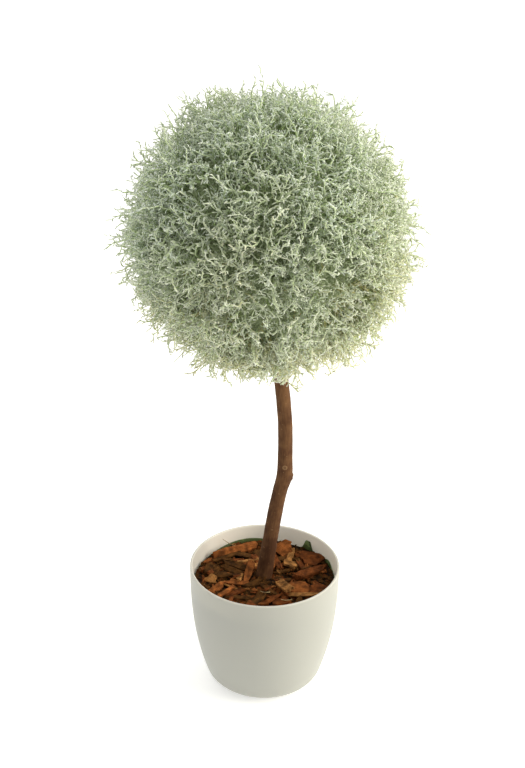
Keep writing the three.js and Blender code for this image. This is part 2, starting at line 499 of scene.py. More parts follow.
def pot_plastic(graph, settings):
    """Matt moulded plastic with a fine grain. It is paler inside as painted light, for light that
    comes through the thin wall, and the top of its lip carries a painted highlight.
    """
    place = graph.object_place()
    cloud = graph.noise(place, 14, 3)
    grit = graph.noise(place, 900, 1)
    inside = graph.node("ShaderNodeAttribute", {"attribute_name": "inside"}, {}, "Fac")
    # Painted light: paler inside for light through the wall, and partly paler on the lip top as a
    # painted highlight.
    colour = graph.mix(inside, tuple(settings.colour), tuple(settings.inside_colour))
    shade = graph.mix(0.045 * cloud, colour, (0.4, 0.4, 0.4))
    return {
        "Base Color": shade,
        "Roughness": 0.4 + 0.12 * cloud,
        "Normal": graph.bump(grit, 0.00004),
        "Specular IOR Level": 0.45,
        "Subsurface Weight": 0.35,
        "Subsurface Radius": (1, 0.95, 0.85),
        "Subsurface Scale": 0.011,
    }


class TOPIARY_OT_pot(bpy.types.Operator):
    """Turns the pot: thin wall, rounded foot, soft lip and flat floor"""

    bl_idname = "topiary.pot"
    bl_label = "Pot"

    def execute(self, context):
        settings = context.scene.topiary_pot
        lip = settings.wall / 2
        top = POT_HIGH.z - lip
        outside = list(wall_line(settings, 0, top, 0, 60))
        inside = list(wall_line(settings, settings.floor, top, settings.wall, 50))
        middle = (outside[-1][0] + inside[-1][0]) / 2
        round_lip = []
        for i in range(1, 8):
            a = math.pi * i / 8
            round_lip.append((middle + lip * math.cos(a), top + lip * math.sin(a)))
        profile = [(0, 0), *outside, *round_lip, *reversed(inside), (0, settings.floor)]
        points, faces = turned(profile, 160)
        mesh = mesh_of("pot_shell", points, faces, material(pot_plastic, settings))
        # Where light is painted: 1 on the inside, for light through the wall, and 0.35 on the lip
        # top, a painted highlight.
        painted_light = mesh.attributes.new("inside", "FLOAT", "POINT")
        for value, p in zip(painted_light.data, points):
            line = pot_radius(settings, p.z) - 0.7 * settings.wall
            within = p.z > 0.5 * settings.floor and p.xy.length < line
            value.value = 1.0 if within else 0.35 * (p.z > top + 0.3 * lip)
        settle(linked("pot_shell", mesh), "pot_plastic", "pot")
        return {"FINISHED"}


def liner_plastic(graph, settings):
    """Thin green plastic, a little scuffed."""
    place = graph.object_place()
    scuffs = graph.noise(place, 160, 3)
    colour = tuple(settings.liner_colour)
    worn = tuple(1.9 * c + 0.01 for c in colour)
    return {
        "Base Color": graph.mix(scuffs > 0.58, colour, worn),
        "Roughness": 0.3 + 0.3 * scuffs,
        "Normal": graph.bump(scuffs, 0.0001),
    }


# Where the liner's edge swells up: heading and width in degrees, and height.
LINER_SWELLS = [(107, 31, 6.1 * MM), (24, 8, 6.2 * MM)]
# Where its lug stands and how wide it is, in degrees.
LUG_HEADING = 51
LUG_WIDTH = 4.2


def liner_rise(settings, angle):
    """How far the liner's edge rises in a direction: where it swells up, and at its lug."""

    def near(degrees, width):
        away = math.remainder(angle - math.radians(degrees), TURN)
        return math.exp(-((away / math.radians(width)) ** 2))

    full = LINER_HIGH.z - settings.liner_edge
    lug = 1.3 * full * min(1.0, 1.35 * near(LUG_HEADING, LUG_WIDTH))
    return max(lug, *(height * near(heading, width) for heading, width, height in LINER_SWELLS))


class TOPIARY_OT_liner(bpy.types.Operator):
    """Makes the thin inner cup, whose edge rises at the back and carries one lug"""

    bl_idname = "topiary.liner"
    bl_label = "Liner"

    def execute(self, context):
        settings = context.scene.topiary_pot
        floor = settings.floor + settings.liner_gap
        inset = settings.wall + settings.liner_gap
        wall = settings.liner_wall
        edge = settings.liner_edge
        outside = list(wall_line(settings, floor, edge, inset, 30))
        inside = list(wall_line(settings, floor + wall, edge, inset + wall, 30))
        lip = (outside[-1][0] / 2 + inside[-1][0] / 2, edge + wall / 2)
        profile = [(0, floor), *outside, lip, *reversed(inside), (0, floor + wall)]

        def raised(p):
            if p.z < edge - wall:
                return p
            r = math.hypot(p.x, p.y)
            rise = liner_rise(settings, math.atan2(p.y, p.x))
            out = pot_radius(settings, p.z + rise) - pot_radius(settings, p.z)
            return Vector((p.x * (r + out) / r, p.y * (r + out) / r, p.z + rise))

        points, faces = turned(profile, 288, raised)
        mesh = mesh_of("liner_cup", points, faces, material(liner_plastic, settings))
        settle(linked("liner_cup", mesh), "liner_plastic", "liner")
        return {"FINISHED"}


# ---- bark ------------------------------------------------------------------------------


# The radius round the middle of the stem that the bark leaves free.
STEM_ROOM = 7.6 * MM
# How deep the fine bark lies, on average.
BED_DEPTH = 12.3 * MM
# The least and most length, width and thickness of crumbs and of loose chips, in millimetres.
CRUMB_SIZES = [(4, 8), (2.5, 5), (1.2, 2.4)]
LOOSE_SIZES = [(16, 35), (3.5, 8), (2.2, 4.2)]
# The height of the loose chips' middles above the foot of the bed.
LOOSE_HEIGHTS = (13.5, 17.5)
# How common each tone is among the crumbs and among the loose chips.
CRUMB_SHARES = {"brown": 0.54, "red": 0.38, "tan": 0.08}
LOOSE_SHARES = {"tan": 0.12, "orange": 0.28, "red": 0.3, "brown": 0.3}
# The tones of the large chips, in the order of their nodes.
CHIP_TONES = (
    "orange orange red red tan orange red tan orange orange brown brown brown brown red tan"
).split()


def drawn_size(rng, ranges):
    """A random length, width and thickness in metres."""
    return tuple(rng.uniform(*ends) * MM for ends in ranges)


def bark_finish(graph, colour):
    """Split bark: fibres along the grain, darker hollows and paler raw edges."""
    grain = graph.uv_place("grain")
    along = graph.vector("MULTIPLY", grain, (0.14, 1, 1))
    fibres = graph.noise(along, 1700, 3)
    patches = graph.noise(grain, 150, 3)
    dark = tuple(0.36 * c for c in colour)
    pale = tuple(1.5 * c for c in colour)
    body = graph.ramp(patches, (0.34, dark), (0.52, colour), (0.7, pale))
    return {
        "Base Color": graph.mix(0.55 * (fibres > 0.55), body, dark),
        "Roughness": 0.75 + 0.2 * fibres,
        "Specular IOR Level": 0.08,
        "Normal": graph.bump(fibres + patches, 0.0006, 0.8),
    }


def bark_fines(graph, settings):
    """Bark dust: brown specks over dark hollows."""
    place = graph.object_place()
    specks = graph.noise(place, 420, 3)
    colour = tuple(settings.fines)
    return {
        "Base Color": graph.ramp(
            specks,
            (0.35, tuple(0.35 * c for c in colour)),
            (0.55, colour),
            (0.72, tuple(settings.brown)),
        ),
        "Roughness": 0.9,
        "Specular IOR Level": 0.1,
        "Normal": graph.bump(specks, 0.001),
    }


def split_side(rng):
    """One long side of a chip: (share along, share of the half width) knots."""
    ends = [rng.uniform(0.1, 1), rng.uniform(0, 0.5)]
    shoulders = [rng.uniform(0.04, 0.3), rng.uniform(0.55, 0.95)]
    return [0, *shoulders, 1], [ends[0], rng.uniform(0.85, 1), rng.uniform(0.85, 1), ends[1]]


def chip(rng, size, cells):
    """Points, faces and grain map of a split bark chip lying along X, round the origin.

    It is a bundle of flat strips side by side, each with its own height and broken ends.
    """
    length, width, thick = size
    along, across = cells
    shift = Vector((rng.uniform(-9, 9), rng.uniform(-9, 9), 0))
    sides = [split_side(rng), split_side(rng)]
    lean = rng.uniform(-0.3, 0.3) * width
    bend = rng.uniform(-0.04, 0.1) * width
    sag = rng.uniform(-0.02, 0.03) * length
    strips = range(across // 2 + 1)
    ends = [[rng.uniform(-0.07, 0.02) * length for _ in strips] for _ in range(2)]
    evenness = 0.62 if length > 2 * width else 0.8
    heights = [[rng.uniform(evenness, 1) for _ in strips] for _ in range(2)]
    wedge = rng.uniform(-0.3, 0.3)
    points = []
    for number, side in enumerate((1, -1)):
        for i in range(along + 1):
            u = i / along
            for j in range(across + 1):
                v = 2 * j / across - 1
                strip = j // 2
                reach = float(np.interp(u, *sides[v < 0]))
                x = (length - abs(lean)) * (u - 0.5) + lean * v * (u - 0.5)
                x += ends[0][strip] * max(0, 1 - 5 * u) * -1 + ends[1][strip] * max(0, 5 * u - 4)
                y = 0.5 * width * v * reach
                body = heights[number][strip] * (1 + wedge * v) / 1.3
                if j in (0, across):
                    body *= 0.7
                broken = noise.noise(Vector((x * 90, 3 * strip, side)) + shift)
                body *= 1 - (0.95 - evenness) * 0.85 * (broken > 0.12)
                z = side * 0.5 * thick * body
                z += bend * (v * v - 0.3) + sag * (2 * u - 1) ** 2
                points.append(Vector((x, y, z)))
    row = across + 1
    under = row * (along + 1)
    faces = []
    for i in range(along):
        for j in range(across):
            a = i * row + j
            quad = (a, a + row, a + row + 1, a + 1)
            faces.append(quad)
            faces.append(tuple(under + k for k in reversed(quad)))
    rim = list(range(across))
    rim += [across + i * row for i in range(along)]
    rim += [along * row + across - j for j in range(across)]
    rim += [(along - i) * row for i in range(along)]
    for a, b in zip(rim, rim[1:] + rim[:1]):
        faces.append((a, b, under + b, under + a))
    spots = [(p.x + 0.05 * shift.x, p.y + 0.5 * p.z + 0.05 * shift.y) for p in points]
    return points, faces, spots


class ChipHeap:
    """Chips of one colour, gathered into one mesh."""

    def __init__(self):
        self.points = []
        self.faces = []
        self.spots = []

    def add(self, points, faces, spots):
        first = len(self.points)
        self.points += points
        self.faces += [tuple(first + k for k in face) for face in faces]
        self.spots += spots

    def mesh(self, name, finish):
        mesh = mesh_of(name, self.points, self.faces, finish)
        mesh.set_sharp_from_angle(angle=math.radians(24))
        corners = [self.spots[k] for face in self.faces for k in face]
        lay_map(mesh, "grain", corners)
        return mesh


def node_pose(name):
    """A CAD node's middle, its own axes from longest to shortest, and its size along them."""
    places = np.array([v.co for v in frame["nodes"][name].data.vertices])
    middle = places.mean(0)
    axes = np.linalg.svd(places - middle, full_matrices=False)[2]
    if np.linalg.det(axes) < 0:
        axes[2] *= -1
    if axes[2][2] < 0:
        axes[1:] *= -1
    spread = (places - middle) @ axes.T
    middle = middle + ((spread.max(0) + spread.min(0)) / 2) @ axes
    turn = Matrix(axes.T.tolist()).to_4x4()
    return Matrix.Translation(middle.tolist()) @ turn, np.ptp(spread, axis=0)


def room_radius():
    """The radius that is free for bark inside the liner."""
    return BED_HIGH.x - 0.2 * MM


def pressed(point, stem):
    """A point of the bark, kept inside the liner and clear of the stem."""
    flat = Vector((point.x, point.y, 0))
    if flat.length > room_radius():
        flat *= room_radius() / flat.length
    off = flat - stem
    off.z = 0
    if off.length < STEM_ROOM:
        flat = stem + off * (STEM_ROOM / max(off.length, 1e-6))
    return Vector((flat.x, flat.y, point.z))


def crumb_tree():
    """Crumbs dropped at random on the upward faces of the bed."""

    def build(graph, given):
        normal = graph.node("GeometryNodeInputNormal")
        upward = graph.node("ShaderNodeSeparateXYZ", {}, {0: normal}, "Z")
        fall = {
            "Mesh": given["Geometry"],
            "Selection": upward > 0.3,
            "Density": given["Density"],
            "Seed": given["Seed"],
        }
        points = graph.node("GeometryNodeDistributePointsOnFaces", {}, fall, "Points")
        drawn = {"data_type": "FLOAT_VECTOR"}
        turn = {"Min": (-0.7, -0.7, 0), "Max": (0.7, 0.7, TURN), "Seed": given["Seed"]}
        size = {"Min": given["Smallest"], "Max": given["Largest"], "Seed": given["Seed"] + 1}
        crumbs = {0: given["Crumbs"], 1: True, 2: True}
        placed = {
            "Points": points,
            "Instance": graph.node("GeometryNodeCollectionInfo", {}, crumbs),
            "Pick Instance": True,
            "Rotation": graph.node("FunctionNodeRandomValue", drawn, turn),
            "Scale": graph.node("FunctionNodeRandomValue", {}, size),
        }
        return graph.node("GeometryNodeInstanceOnPoints", {}, placed), None

    inputs = {
        "Crumbs": "Collection",
        "Density": "Float",
        "Smallest": "Float",
        "Largest": "Float",
        "Seed": "Int",
        "Material": "Material",
    }
    return geometry_tree("crumbs_on_bed", inputs, build)


def mound_at(settings, foot, place):
    """How far the bark rises at a place, round the foot of the stem."""
    away = (place.xy - foot.xy).length
    return settings.mound * math.exp(-((away / (20 * MM)) ** 2))


def bed_mesh(settings):
    """The lumpy top of the fine bark and the flat underside that it lies on."""
    rings = 44
    steps = 132
    reach = room_radius()
    low = BED_LOW.z
    mean = low + BED_DEPTH
    foot = stem_centre(BED_HIGH.z)
    profile = [(0, low), (reach - 1 * MM, low)]
    profile += [(reach * (1 - i / rings), mean) for i in range(rings)]
    profile += [(0, mean)]

    def lumpy(p):
        if p.z < mean - MM:
            return p
        spot = p * 60
        lift = 3.4 * MM * noise.noise(spot) + 1.6 * MM * noise.noise(spot * 3.3)
        edge = (p.xy.length / reach) ** 4
        lift = lift * (1 - 0.7 * edge) + mound_at(settings, foot, p) + 3.4 * MM * edge
        return Vector((p.x, p.y, mean + lift))

    points, faces = turned(profile, steps, lumpy)
    return mesh_of("bark_fines", points, faces, material(bark_fines, settings))


class TOPIARY_OT_bark(bpy.types.Operator):
    """Lays the bed of fine bark, its crumbs and the split chips on top"""

    bl_idname = "topiary.bark"
    bl_label = "Bark"

    def execute(self, context):
        settings = context.scene.topiary_bark
        rng = random.Random(settings.seed)
        bed = linked("bark_fines", bed_mesh(settings))
        self.scatter_crumbs(settings, rng, bed)
        self.lay_chips(settings, rng)
        self.lay_straws(settings, rng)
        settle(bed, "bark_fines", "bark_bed")
        return {"FINISHED"}

    def scatter_crumbs(self, settings, rng, bed):
        kinds = bpy.data.collections.new("crumbs")
        for i in range(7):
            heap = ChipHeap()
            heap.add(*chip(rng, drawn_size(rng, CRUMB_SIZES), (4, 2)))
            kinds.objects.link(bpy.data.objects.new("crumb", heap.mesh("crumb", None)))
        tree = crumb_tree()
        stem = stem_centre(BED_HIGH.z)
        for i, (tone, portion) in enumerate(CRUMB_SHARES.items()):
            name = "bark_crumbs_" + tone
            values = {
                "Crumbs": kinds,
                "Density": settings.crumb_density * portion,
                "Smallest": 0.55,
                "Largest": 1.25,
                "Seed": settings.seed + 10 * i,
                "Material": material(bark_finish, tuple(getattr(settings, tone)), name=name),
            }
            crumbs = grown(name, linked(name + "_host", bed.data), tree, values)
            for vertex in crumbs.data.vertices:
                vertex.co = pressed(vertex.co, stem)
            settle(crumbs, "bark_fines")
        discard(kinds)

    def lay_chips(self, settings, rng):
        stem = stem_centre(BED_HIGH.z)
        tones = list(LOOSE_SHARES)
        heaps = {tone: ChipHeap() for tone in tones}
        stands_for = {tone: [] for tone in tones}
        large = []
        for i, node in enumerate(CHIP_NODES):
            pose, size = node_pose(node)
            large += [(pose @ Vector((size[0] * u, 0, 0))).xy for u in (-0.4, -0.2, 0, 0.2, 0.4)]
            tone = CHIP_TONES[i % len(CHIP_TONES)]
            # A weathered chip has split along its grain into two splinters.
            splinters = 2 if tone == "brown" else 1
            for k in range(splinters):
                part = (size[0] * rng.uniform(0.88, 1), size[1] / splinters, size[2])
                aside = Matrix.Translation((0, ((k + 0.5) / splinters - 0.5) * size[1], 0))
                twist = Matrix.Rotation(rng.gauss(0, 0.12) * (splinters - 1), 4, "Z")
                points, faces, spots = chip(rng, part, (22, 9))
                points = [pressed(pose @ aside @ twist @ p, stem) for p in points]
                heaps[tone].add(points, faces, spots)
            stands_for[tone].append(node)
        laid = 0
        while laid < settings.loose_chips:
            size = drawn_size(rng, LOOSE_SIZES)
            share_out = math.sqrt(rng.random())
            heading = rng.uniform(0, TURN)
            spot = Vector((math.cos(heading), math.sin(heading))) * share_out * room_radius()
            height = BED_LOW.z + rng.uniform(*LOOSE_HEIGHTS) * MM + mound_at(settings, stem, spot)
            # A chip close to a large one lies under it.
            if min((spot - place).length for place in large) < 8 * MM:
                height -= 3 * MM
            # A chip near the wall lies along it.
            if share_out > 0.8:
                lie = heading + TURN / 4 + rng.gauss(0, 0.2)
            else:
                lie = rng.uniform(0, TURN)
            tilt = Quaternion((rng.gauss(0, 1), rng.gauss(0, 1), 0.2), rng.gauss(0, 0.22))
            turn = Matrix.Rotation(lie, 4, "Z") @ tilt.to_matrix().to_4x4()
            pose = Matrix.Translation((*spot, height)) @ turn
            points, faces, spots = chip(rng, size, (12, 6))
            points = [pose @ p for p in points]
            if max(math.hypot(p.x, p.y) for p in points) > room_radius():
                continue
            if min((p - stem).xy.length for p in points) < STEM_ROOM:
                continue
            tone = rng.choices(tones, LOOSE_SHARES.values())[0]
            heaps[tone].add(points, faces, spots)
            laid += 1
        for tone in tones:
            name = "bark_chips_" + tone
            finish = material(bark_finish, tuple(getattr(settings, tone)), name=name)
            piece = linked(name, heaps[tone].mesh(name, finish))
            settle(piece, "bark", *stands_for[tone])

    def lay_straws(self, settings, rng):
        """Thin straws: one leans on the wall at the back left, the others lie about."""
        points = []
        faces = []
        ends = [(Vector((-26, 49, 107)), Vector((-41, 49, 116)))]
        for _ in range(settings.straws - 1):
            heading = rng.uniform(0, TURN)
            place = Vector((rng.uniform(-35, 35), rng.uniform(-45, -15), rng.uniform(106, 109)))
            along = Vector((math.cos(heading), math.sin(heading), rng.uniform(-0.1, 0.2)))
            ends.append((place, place + along * rng.uniform(8, 14)))
        for start, end in ends:
            chain = []
            for i in range(9):
                u = i / 8
                sag = Vector((0, 0, -4 * u * (1 - u)))
                chain.append(((start.lerp(end, u) + sag) * MM, (0.55 - 0.3 * u) * MM))
            tube(chain, 5, points, faces, True)
        finish = material(bark_finish, tuple(settings.straw), name="straw")
        mesh = mesh_of("straws", points, faces, finish)
        corners = [(points[k].x, points[k].z) for face in faces for k in face]
        lay_map(mesh, "grain", corners)
        settle(linked("straws", mesh), "bark")




def pattern(name, shapes):
    """A collection of patterns to set out, from a list of (points, faces)."""
    kinds = bpy.data.collections.new(name)
    for i, (points, faces) in enumerate(shapes):
        label = f"{name}_{i:02d}"
        kinds.objects.link(bpy.data.objects.new(label, mesh_of(label, points, faces)))
    return kinds


def discard(collection):
    """Removes a collection of patterns once they have been used."""
    for shape in list(collection.objects):
        bpy.data.objects.remove(shape)
    bpy.data.collections.remove(collection)


# ---- stem ------------------------------------------------------------------------------


# The ways that the pruned knot and the healed scar face, in degrees from +X.
KNOT_HEADING = 0
SCAR_HEADING = 268


def stem_sections():
    """Heights, centres and mean radii of the stem's level sections, from foot to top."""
    places = np.array([v.co for v in frame["nodes"]["stem"].data.vertices])
    heights = np.unique(places[:, 2].round(5))
    rows = []
    for z in heights:
        ring = places[np.abs(places[:, 2] - z) < 2e-5]
        ring = np.unique(ring.round(6), axis=0)
        centre = (ring.max(0) + ring.min(0)) / 2
        radius = (np.ptp(ring[:, 0]) + np.ptp(ring[:, 1])) / 4
        rows.append((z, centre[0], centre[1], radius))
    return np.array(rows)


def stem_at(sections, z):
    """Centre and radius of the stem at a height."""
    x, y, radius = (float(np.interp(z, sections[:, 0], sections[:, k])) for k in (1, 2, 3))
    return Vector((x, y, z)), radius


def stem_centre(z):
    """Centre of the stem at a height."""
    return stem_at(stem_sections(), z)[0]


def scar_place(settings):
    """The middle of the healed scar, on the front of the stem."""
    centre, radius = stem_at(stem_sections(), settings.scar_height)
    way = math.radians(SCAR_HEADING)
    return tuple(centre + radius * Vector((math.cos(way), math.sin(way), 0)))


def stem_bark(graph, settings):
    """Thin bark: long streaks, mottling, small pale pores and a dull surface, with painted shade
    darkening it towards the foot.
    """
    wrap = graph.uv_place("wrap")
    streak = graph.vector("MULTIPLY", wrap, (1, 0.12, 1))
    lines = graph.noise(streak, 900, 3)
    clouds = graph.noise(wrap, 70, 3)
    pore_place = graph.vector("MULTIPLY", wrap, (0.6, 1, 1))
    cells = graph.node("ShaderNodeTexVoronoi", {}, {"Vector": pore_place, "Scale": 330}, "Distance")
    rare = graph.noise(wrap, 240, 1)
    pores = (cells < 0.22) * (rare > 0.6)
    scar = graph.vector("DISTANCE", graph.object_place(), scar_place(settings))
    ring = (scar < 2.3 * MM) - 0.5 * (scar < 1.2 * MM)
    light = tuple(settings.light_bark)
    dark = tuple(settings.dark_bark)
    middle = tuple((a + b) / 2 for a, b in zip(light, dark))
    # Painted shade: the bark is darkened more and more below 0.3 m, towards the foot of the stem.
    height = graph.node("ShaderNodeSeparateXYZ", {}, {0: graph.object_place()}, "Z")
    reach = {"Value": height, "From Min": 0.1, "From Max": 0.3, "To Min": 0.12, "To Max": 0.0}
    painted_low_shade = graph.node("ShaderNodeMapRange", {}, reach)
    grain = 0.35 * lines + 0.65 * clouds - painted_low_shade
    bark = graph.ramp(grain, (0.34, dark), (0.5, middle), (0.66, light))
    return {
        "Base Color": graph.mix(0.5 * ring + 0.4 * pores, bark, tuple(settings.pores)),
        "Roughness": 0.7 + 0.2 * lines,
        "Specular IOR Level": 0.15,
        "Normal": graph.bump(lines + 0.5 * clouds + 0.4 * pores, 0.0004, 0.9),
    }


class TOPIARY_OT_stem(bpy.types.Operator):
    """Makes the stem with its bark relief, pruned knot and healed scar"""

    bl_idname = "topiary.stem"
    bl_label = "Stem"

    def execute(self, context):
        settings = context.scene.topiary_stem
        sections = stem_sections()
        around = 56
        foot = sections[0, 0]
        tall = sections[-1, 0] - foot
        row_height = 0.8 * MM
        rows = int(tall / row_height)
        points = []
        for i in range(rows + 1):
            z = foot + tall * i / rows
            centre, radius = stem_at(sections, z)
            for k in range(around):
                a = TURN * k / around
                out = Vector((math.cos(a), math.sin(a), 0))
                r = radius + self.relief(settings, a, z)
                points.append(centre + r * out)
        faces = []
        corners = []
        girth = TURN * sections[:, 3].mean()
        for i in range(rows):
            for k in range(around):
                j = (k + 1) % around
                low = i * around
                faces.append((low + k, low + j, low + around + j, low + around + k))
                left = girth * k / around
                right = girth * (k + 1) / around
                bottom = tall * i / rows
                top = tall * (i + 1) / rows
                corners += [(left, bottom), (right, bottom), (right, top), (left, top)]
        for ring, step in ((0, -1), (rows * around, 1)):
            faces.append(tuple(ring + k for k in range(around))[::step])
            corners += [(points[ring + k].x, points[ring + k].y) for k in range(around)][::step]
        mesh = mesh_of("stem_branch", points, faces, material(stem_bark, settings))
        lay_map(mesh, "wrap", corners)
        settle(linked("stem_branch", mesh), "stem_bark", "stem")
        return {"FINISHED"}

    def relief(self, settings, a, z):
        """How far the surface stands off the plain stem in a direction, at a height."""

        def lumps(around, upward):
            place = (math.cos(a) * around, math.sin(a) * around, z * upward + settings.seed)
            return noise.noise(Vector(place))

        swell = lumps(0.8, 38)
        ridges = lumps(5, 70)
        fibres = lumps(13, 210)
        off = settings.wander * swell + settings.relief * (0.65 * ridges + 0.35 * fibres)
        off += self.knot(a, KNOT_HEADING, z - settings.knot_height, 2.6 * MM, 0.9 * MM)
        off += self.knot(a, SCAR_HEADING, z - settings.scar_height, 2 * MM, 0.35 * MM)
        return off

    @staticmethod
    def knot(a, degrees, rise, width, height):
        """A raised ring with a hollow middle, where a side shoot was cut."""
        sideways = 6 * MM * math.remainder(a - math.radians(degrees), TURN)
        distance = math.hypot(sideways, rise) / width
        ring = math.exp(-((distance - 0.75) ** 2) / 0.16)
        return height * ring * (distance < 4)


# ---- the ball of sprigs ----------------------------------------------------------------


class BallShape:
    """The clipped outline of the ball: its radius in any direction."""

    def __init__(self):
        node = frame["nodes"]["foliage_ball"]
        places = [v.co for v in node.data.vertices]
        faces = [p.vertices for p in node.data.polygons]
        self.tree = BVHTree.FromPolygons(places, faces)
        self.mean = (BALL_HIGH.x - BALL_LOW.x + BALL_HIGH.y - BALL_LOW.y) / 4

    def radius(self, direction):
        """Where a ray from outside meets the ball. The stem's hole is passed over."""
        start = BALL_CENTRE + direction * 2 * self.mean
        hit = self.tree.ray_cast(start, -direction)[0]
        found = (hit - BALL_CENTRE).length if hit else 0.0
        least = 0.93 * self.mean
        return max(found, least)


def spread_directions(rng, count):
    """Directions spread over the whole sphere, each moved a little at random."""
    golden = math.pi * (3 - math.sqrt(5))
    loose = 1.3 / math.sqrt(count)
    directions = []
    for i in range(count):
        z = 1 - 2 * (i + 0.5) / count
        r = math.sqrt(1 - z * z)
        even = Vector((r * math.cos(golden * i), r * math.sin(golden * i), z))
        directions.append((even + scatter(rng) * loose).normalized())
    return directions


def bough_radius(carried):
    """Radius of a bough that carries so many sprays."""
    return 0.75 * MM * carried**0.27


def divide(rng, seats, start, start_radius, chain, chains, total):
    """Splits the seats that a bough serves in two, again and again, until one is left."""
    places = np.array([tuple(s) for s in seats])
    if len(seats) == 1:
        chain.append((seats[0], bough_radius(1)))
        chains.append(chain)
        return
    middle = places.mean(0)
    axes = np.linalg.svd(places - middle, full_matrices=False)[2]
    along = (places - middle) @ axes[0]
    order = np.argsort(along, kind="stable")
    cut = round(len(seats) * rng.uniform(0.4, 0.6))
    cut = min(max(cut, 1), len(seats) - 1)
    halves = [[seats[i] for i in order[:cut]], [seats[i] for i in order[cut:]]]
    halves.sort(key=len, reverse=True)
    for number, half in enumerate(halves):
        toward = sum(half, Vector()) / len(half) - BALL_CENTRE
        outward = (half[0] - BALL_CENTRE).length
        reach = outward * (1 - (len(half) / total) ** (1 / 3))
        place = BALL_CENTRE + toward.normalized() * reach
        place += scatter(rng) * 1.5 * MM
        radius = bough_radius(len(half))
        own = chain if number == 0 else [(start, min(start_radius, 1.15 * radius))]
        if len(half) > 1:
            own.append((place, radius))
        fork = place if len(half) > 1 else start
        divide(rng, half, fork, radius, own, chains, total)


def bough_wood(graph, settings):
    """Bare wood, streaked with the two tones of the stem's bark."""
    place = graph.object_place()
    streaks = graph.noise(place, 260, 3)
    light = tuple(settings.light_bark)
    dark = tuple(settings.dark_bark)
    return {
        "Base Color": graph.mix(streaks, dark, light),
        "Roughness": 0.85,
        "Normal": graph.bump(streaks, 0.0004),
    }


class Spray:
    """One spray of twigs, grown up from the origin by the branching rule.

    Its foot forks three times. Each end then grows into a long curling shoot, with a short
    twig at every joint and now and then a smaller one on that.
    """

    # The lengths between the foot's forks.
    REACHES = [8.5, 6.5, 5.0]
    JOINTS = 7
    JOINT_REACH = 3.2

    def __init__(self, rng, settings):
        self.rng = rng
        self.settings = settings
        self.half = settings.thickness / 2
        self.twigs = ([], [])
        self.sprigs = ([], [])
        self.tips = ([], [])
        up = Vector((0, 0, 1))
        self.fork_foot(Vector(), up, up.orthogonal(), 0, [(Vector(), 1.6 * self.half)])

    def fork_foot(self, place, heading, axis, level, chain):
        rng = self.rng
        place = place + heading * self.REACHES[level] * MM * rng.uniform(0.75, 1.25)
        chain = [*chain, (place, (1.45 - 0.13 * level) * self.half)]
        level += 1
        if level == len(self.REACHES):
            tube(chain, 3, *self.twigs, False)
            self.grow_shoot(place, heading)
            return
        axis = Quaternion(heading, math.radians(rng.gauss(90, 25))) @ axis
        fork = self.settings.fork * rng.uniform(0.7, 1.3)
        side_chain = [(place, 1.2 * self.half)]
        for side, followed in ((-0.85, chain), (1.15, side_chain)):
            turned_to = Quaternion(axis, side * fork) @ heading
            turned_to = (turned_to + Vector((0, 0, 0.12))).normalized()
            self.fork_foot(place, turned_to, axis, level, followed)

    def grow_shoot(self, place, heading):
        """A curling shoot: it bends steadily one way, and a little at random."""
        rng = self.rng
        axis = heading.cross(scatter(rng))
        bend = Quaternion(axis.normalized(), self.settings.bend * rng.uniform(-1, 1))
        spin = rng.uniform(0, TURN)
        count = rng.randint(self.JOINTS - 2, self.JOINTS)
        chain = [(place, 1.1 * self.half)]
        for i in range(count):
            heading = (bend @ heading + scatter(rng) * 0.13).normalized()
            place = place + heading * self.JOINT_REACH * MM * rng.uniform(0.85, 1.15)
            chain.append((place, (1.05 - 0.25 * (i + 1) / count) * self.half))
            spin += math.radians(rng.gauss(150, 35))
            self.grow_twig(place, heading, spin, 4.2 - 1.2 * i / count, i < count - 1)
        tube(chain, 3, *self.sprigs, False)

    def grow_twig(self, place, heading, spin, reach, forks):
        """A short side twig, with a smaller one on some."""
        rng = self.rng
        across = Quaternion(heading, spin) @ heading.orthogonal().normalized()
        spread = math.radians(rng.uniform(32, 62))
        way = math.cos(spread) * heading + math.sin(spread) * across
        reach = reach * MM * rng.uniform(0.7, 1.2)
        end = place + reach * way
        tube([(place, 0.95 * self.half), (end, 0.75 * self.half)], 3, *self.tips, False)
        if forks and rng.random() < self.settings.twiggy:
            start = place + 0.55 * reach * way
            way = way + rng.choice((-0.9, 0.9)) * heading.cross(across) + 0.4 * heading
            end = start + way.normalized() * 0.6 * reach
            tube([(start, 0.85 * self.half), (end, 0.7 * self.half)], 3, *self.tips, False)


